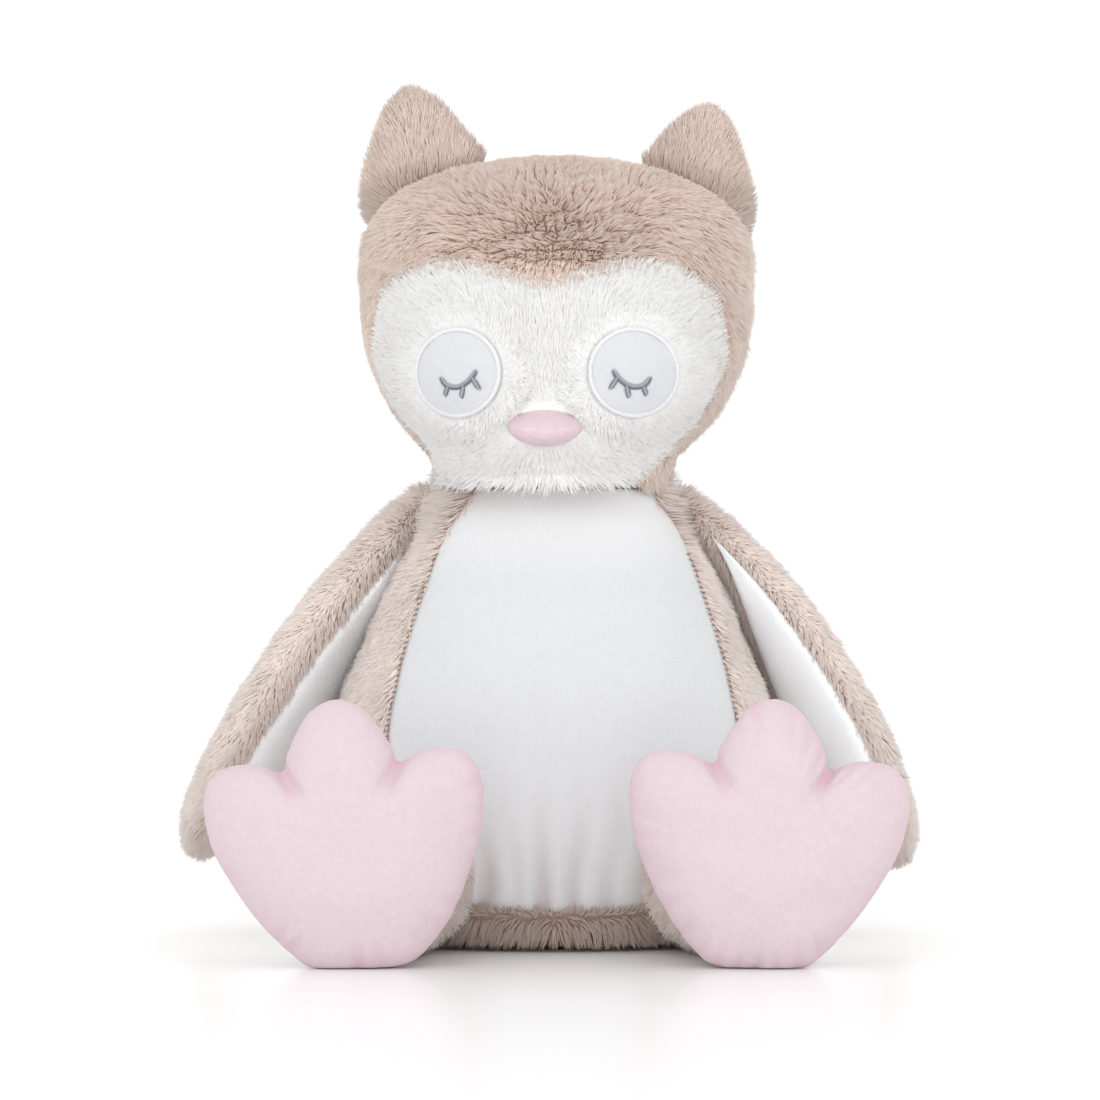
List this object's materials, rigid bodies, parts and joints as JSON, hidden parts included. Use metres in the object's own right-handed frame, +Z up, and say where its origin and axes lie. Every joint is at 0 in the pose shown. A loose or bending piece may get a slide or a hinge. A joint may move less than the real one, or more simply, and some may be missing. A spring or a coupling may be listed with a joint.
{
  "type": "plush owl toy",
  "caption": "Seated plush owl with stitched sleeping eyes, hanging wings, three-toed feet and a squeeze sound module zipped into its base.",
  "frame": {"origin": "on the floor, on the underside of the seat panel under the neck axis", "axes": "+Z up along the neck axis, -Y the way the owl looks, +X to the right as seen from the front"},
  "size_m": [0.3293, 0.2641, 0.379],
  "materials": {
    "fur": "plush pile",
    "seat_fur": "short plush pile",
    "white_fur": "long plush pile",
    "smooth_white": "brushed velour",
    "eye_felt": "felt",
    "lash": "satin stitch",
    "beak": "gloss",
    "foot": "velour",
    "stuffing": "fibre filling",
    "zip_tape": "woven",
    "zip_metal": "satin",
    "case": "satin",
    "door": "satin",
    "steel": "satin",
    "contact": "plated",
    "cell": "satin",
    "board": "satin",
    "chip": "satin",
    "speaker": "satin",
    "button": "satin"
  },
  "bodies": {
    "torso": {"body_cover": "fur", "belly_panel": "smooth_white", "seat_panel": "seat_fur", "body_filling": "stuffing", "zip_tape_front": "zip_tape", "zip_tape_back": "zip_tape", "module_case_front": "case", "module_case_back": "case", "battery_tray": "case", "battery_door": "door", "battery_door_screw": "steel", "contact_strip_positive": "contact", "contact_strip_negative": "contact", "circuit_board": "board", "voice_chip": "chip", "tact_key": "chip", "speaker": "speaker", "button_spring": "steel", "power_switch_body": "chip", "case_screw_1": "steel", "case_screw_2": "steel", "case_screw_3": "steel", "case_screw_4": "steel", "battery_1": "cell", "battery_2": "cell", "battery_3": "cell"},
    "head": {"head_cover": "fur", "face_panel": "white_fur", "head_filling": "stuffing", "beak": "beak", "beak_washer": "case", "eye_left": "eye_felt", "eye_right": "eye_felt", "lashes_left": "lash", "lashes_right": "lash", "ear_left": "fur", "ear_right": "fur"},
    "wing_left": {"wing_left": "fur", "wing_lining_left": "smooth_white"},
    "wing_right": {"wing_right": "fur", "wing_lining_right": "smooth_white"},
    "leg_left": {"leg_left": "fur"},
    "leg_right": {"leg_right": "fur"},
    "foot_left": {"foot_left": "foot"},
    "foot_right": {"foot_right": "foot"},
    "zip_slider": {"zip_slider": "zip_metal"},
    "zip_pull": {"zip_pull": "zip_metal"},
    "press_button": {"press_button": "button"},
    "power_knob": {"power_switch_knob": "button"}
  },
  "joints": [
    {"name": "head_turn", "type": "hinge", "parent": "torso", "child": "head", "pos_m": [0, 0, 0.202], "axis": [0, 0, 1], "range_deg": [-20, 20], "stiffness_Nm_per_rad": 0.25},
    {"name": "wing_left_lift", "type": "hinge", "parent": "torso", "child": "wing_left", "pos_m": [-0.05184, 0.012, 0.19], "axis": [0, 1, 0], "range_deg": [0, 55]},
    {"name": "leg_left_lift", "type": "hinge", "parent": "torso", "child": "leg_left", "pos_m": [-0.0555, -0.08245, 0.068], "axis": [-1, 0, 0], "range_deg": [0, 35]},
    {"name": "foot_left_lean", "type": "hinge", "parent": "leg_left", "child": "foot_left", "pos_m": [-0.0815, -0.134, 0.068], "axis": [-1, 0, 0], "range_deg": [0, 15]},
    {"name": "wing_right_lift", "type": "hinge", "parent": "torso", "child": "wing_right", "pos_m": [0.05184, 0.012, 0.19], "axis": [0, -1, 0], "range_deg": [0, 55]},
    {"name": "leg_right_lift", "type": "hinge", "parent": "torso", "child": "leg_right", "pos_m": [0.059, -0.08053, 0.068], "axis": [-1, 0, 0], "range_deg": [0, 35]},
    {"name": "foot_right_lean", "type": "hinge", "parent": "leg_right", "child": "foot_right", "pos_m": [0.085, -0.134, 0.068], "axis": [-1, 0, 0], "range_deg": [0, 15]},
    {"name": "zip_slide", "type": "slide", "parent": "torso", "child": "zip_slider", "axis": [-1, 0, 0], "range_m": [0, 0.0705]},
    {"name": "zip_pull_swing", "type": "hinge", "parent": "zip_slider", "child": "zip_pull", "pos_m": [0.02475, 0.026, 0.00415], "axis": [0, 1, 0], "range_deg": [0, 90]},
    {"name": "button_press", "type": "slide", "parent": "torso", "child": "press_button", "axis": [0, 1, 0], "range_m": [0, 0.002], "stiffness_N_per_m": 900, "springref_m": -0.001, "deforming": ["button_spring"]},
    {"name": "power_slide", "type": "slide", "parent": "torso", "child": "power_knob", "axis": [1, 0, 0], "range_m": [0, 0.004]}
  ]
}
